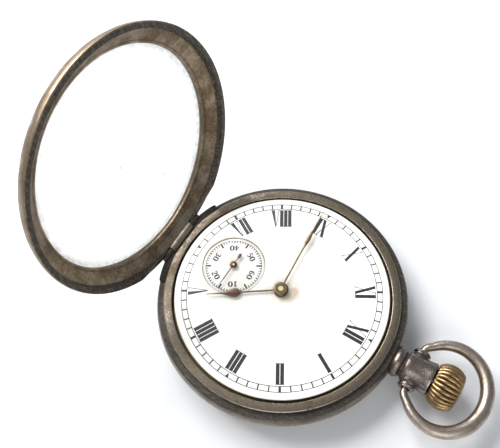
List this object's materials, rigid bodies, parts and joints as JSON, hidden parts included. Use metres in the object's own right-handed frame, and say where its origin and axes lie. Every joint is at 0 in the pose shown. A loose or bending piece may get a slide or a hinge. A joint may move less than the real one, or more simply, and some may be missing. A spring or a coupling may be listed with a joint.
{
  "type": "pocket watch",
  "caption": "Open-face pocket watch with a hinged glazed bezel standing open, white Roman dial, seconds dial, pendant, bow and winding crown.",
  "frame": {"origin": "middle of the flat on the case back, where the watch rests", "axes": "+Z out of the dial, +Y towards XII and the pendant, +X towards III"},
  "size_m": [0.0518, 0.0829, 0.0581],
  "materials": {
    "silver_case": "tarnished silver, worn bright on the edges",
    "silver_bezel": "brown oxidised silver, worn on the outer edge",
    "silver_back": "polished silver with fine scratches",
    "silver_cover": "polished silver",
    "silver_bow": "pale worn silver",
    "crown_brass": "worn brass, dark in the flutes",
    "glass": "clear glass with fine specks",
    "enamel": "white vitreous enamel",
    "copper": "copper",
    "gold_hands": "dull gilt",
    "brown_steel": "heat-browned steel",
    "steel": "polished steel",
    "blued_steel": "blued steel",
    "winding_steel": "snailed steel",
    "gilt_plates": "frosted gilt",
    "wheel_brass": "polished brass",
    "ruby": "red synthetic stone"
  },
  "bodies": {
    "case": {"case_middle": "silver_case", "bezel_hinge_pin": "steel", "rear_hinge_pins": "steel", "pendant": "silver_case", "pendant_sleeve": "steel", "dial": "enamel", "seconds_dial": "enamel", "dial_feet": "copper", "dial_screws": "steel", "main_plate": "gilt_plates", "barrel_bridge": "gilt_plates", "train_bridge": "gilt_plates", "balance_cock": "gilt_plates", "pallet_bridge": "gilt_plates", "hairspring": "blued_steel", "hairspring_stud": "wheel_brass", "balance_jewels": "ruby", "train_jewels": "ruby", "crown_wheel_screw": "blued_steel", "click_post": "blued_steel", "click_spring": "blued_steel", "keyless_posts": "steel", "yoke_spring": "blued_steel", "bridge_screws": "blued_steel", "case_screws": "blued_steel"},
    "bezel": {"front_bezel": "silver_bezel", "crystal": "glass"},
    "back": {"case_back": "silver_back"},
    "inner_cover": {"cuvette": "silver_cover"},
    "bow": {"bow": "silver_bow"},
    "winding_pinion": {"winding_pinion": "steel"},
    "crown": {"crown": "crown_brass", "winding_stem": "steel"},
    "clutch": {"clutch_wheel": "steel"},
    "crown_wheel": {"crown_wheel": "winding_steel"},
    "ratchet": {"ratchet_wheel": "winding_steel", "ratchet_screw": "blued_steel", "barrel_arbor": "steel"},
    "click": {"click": "steel"},
    "barrel": {"barrel": "wheel_brass", "barrel_cover": "wheel_brass", "mainspring": "blued_steel"},
    "centre": {"centre_wheel": "wheel_brass", "cannon_pinion": "steel", "minute_hand": "gold_hands"},
    "third": {"third_wheel": "wheel_brass"},
    "fourth": {"fourth_wheel": "wheel_brass", "seconds_hand": "brown_steel"},
    "escape": {"escape_wheel": "steel"},
    "pallet": {"pallet_fork": "steel"},
    "balance": {"balance_wheel": "wheel_brass", "balance_screws": "wheel_brass", "balance_staff": "steel"},
    "regulator": {"regulator": "steel"},
    "hour": {"hour_wheel": "wheel_brass", "hour_hand": "gold_hands"},
    "minute_wheel": {"minute_wheel": "wheel_brass"},
    "setting_wheel": {"setting_wheel": "steel"},
    "setting_lever": {"setting_lever": "steel"},
    "yoke": {"yoke": "steel"}
  },
  "joints": [
    {"name": "bezel_hinge", "type": "hinge", "parent": "case", "child": "bezel", "pos_m": [0, -0.0249, 0.0085], "axis": [1, 0, 0], "range_deg": [-101.8, 0]},
    {"name": "back_hinge", "type": "hinge", "parent": "case", "child": "back", "pos_m": [0, -0.0253, 0.00335], "axis": [-1, 0, 0], "range_deg": [0, 100]},
    {"name": "inner_cover_hinge", "type": "hinge", "parent": "case", "child": "inner_cover", "pos_m": [0, -0.0235, 0.0023], "axis": [-1, 0, 0], "range_deg": [0, 86]},
    {"name": "bow_swing", "type": "hinge", "parent": "case", "child": "bow", "pos_m": [0, 0.0298, 0.0056], "axis": [1, 0, 0], "range_deg": [-95, 95]},
    {"name": "winding", "type": "hinge", "parent": "case", "child": "winding_pinion", "pos_m": [0, 0.015, 0.0056], "axis": [0, 1, 0], "continuous": true},
    {"name": "crown_pull", "type": "slide", "parent": "winding_pinion", "child": "crown", "axis": [0, 1, 0], "range_m": [0, 0.001]},
    {"name": "clutch_slide", "type": "slide", "parent": "winding_pinion", "child": "clutch", "axis": [0, -1, 0], "range_m": [0, 0.0008]},
    {"name": "setting_lever_turn", "type": "hinge", "parent": "case", "child": "setting_lever", "pos_m": [0.004, 0.0179, 0.0072], "axis": [0, 0, -1], "range_deg": [0, 15]},
    {"name": "yoke_turn", "type": "hinge", "parent": "case", "child": "yoke", "pos_m": [-0.0052, 0.0134, 0.0072], "axis": [0, 0, -1], "range_deg": [0, 8]},
    {"name": "crown_wheel_turn", "type": "hinge", "parent": "case", "child": "crown_wheel", "pos_m": [0, 0.01169, 0.0029], "axis": [0, 0, 1], "continuous": true},
    {"name": "ratchet_turn", "type": "hinge", "parent": "case", "child": "ratchet", "pos_m": [-0.00728, 0.0042, 0.0029], "axis": [0, 0, 1], "continuous": true},
    {"name": "click_turn", "type": "hinge", "parent": "case", "child": "click", "pos_m": [-0.0152, 0.001, 0.0029], "axis": [0, 0, 1], "range_deg": [0, 10]},
    {"name": "barrel_turn", "type": "hinge", "parent": "case", "child": "barrel", "pos_m": [-0.00728, 0.0042, 0.0048], "axis": [0, 0, -1], "continuous": true},
    {"name": "hands_turn", "type": "hinge", "parent": "case", "child": "centre", "pos_m": [0, 0, 0.006], "axis": [0, 0, -1], "continuous": true},
    {"name": "third_turn", "type": "hinge", "parent": "case", "child": "third", "pos_m": [-0.00151, -0.00658, 0.005], "axis": [0, 0, -1], "continuous": true},
    {"name": "fourth_turn", "type": "hinge", "parent": "case", "child": "fourth", "pos_m": [0, -0.01145, 0.005], "axis": [0, 0, -1], "continuous": true},
    {"name": "escape_turn", "type": "hinge", "parent": "case", "child": "escape", "pos_m": [0.0047, -0.00974, 0.005], "axis": [0, 0, -1], "continuous": true},
    {"name": "pallet_turn", "type": "hinge", "parent": "case", "child": "pallet", "pos_m": [0.00715, -0.0067, 0.0057], "axis": [0, 0, -1], "range_deg": [-4, 4]},
    {"name": "balance_swing", "type": "hinge", "parent": "case", "child": "balance", "pos_m": [0.0106, -0.0024, 0.0045], "axis": [0, 0, -1], "range_deg": [-270, 270], "stiffness_Nm_per_rad": 0.000002},
    {"name": "regulator_turn", "type": "hinge", "parent": "case", "child": "regulator", "pos_m": [0.0106, -0.0024, 0.0025], "axis": [0, 0, -1], "range_deg": [-18, 18]},
    {"name": "hour_turn", "type": "hinge", "parent": "case", "child": "hour", "pos_m": [0, 0, 0.008], "axis": [0, 0, -1], "continuous": true},
    {"name": "minute_wheel_turn", "type": "hinge", "parent": "case", "child": "minute_wheel", "pos_m": [0.0009, 0.00349, 0.0072], "axis": [0, 0, -1], "continuous": true},
    {"name": "setting_wheel_turn", "type": "hinge", "parent": "case", "child": "setting_wheel", "pos_m": [0, 0.00789, 0.0072], "axis": [0, 0, -1], "continuous": true}
  ],
  "couplings": [
    {"joint": "inner_cover_hinge", "follows": "back_hinge", "ratio": 0.85},
    {"joint": "clutch_slide", "follows": "crown_pull", "ratio": 0.7},
    {"joint": "setting_lever_turn", "follows": "crown_pull", "rad_per_m": 250},
    {"joint": "yoke_turn", "follows": "crown_pull", "rad_per_m": 134.6},
    {"joint": "crown_wheel_turn", "follows": "winding", "ratio": 0.58333},
    {"joint": "ratchet_turn", "follows": "winding", "ratio": -0.41176},
    {"joint": "barrel_turn", "follows": "hands_turn", "ratio": -0.16667},
    {"joint": "third_turn", "follows": "hands_turn", "ratio": -8},
    {"joint": "fourth_turn", "follows": "hands_turn", "ratio": 60},
    {"joint": "escape_turn", "follows": "hands_turn", "ratio": -600},
    {"joint": "hour_turn", "follows": "hands_turn", "ratio": 0.083333},
    {"joint": "minute_wheel_turn", "follows": "hands_turn", "ratio": -0.33333},
    {"joint": "setting_wheel_turn", "follows": "hands_turn", "ratio": 0.5}
  ]
}
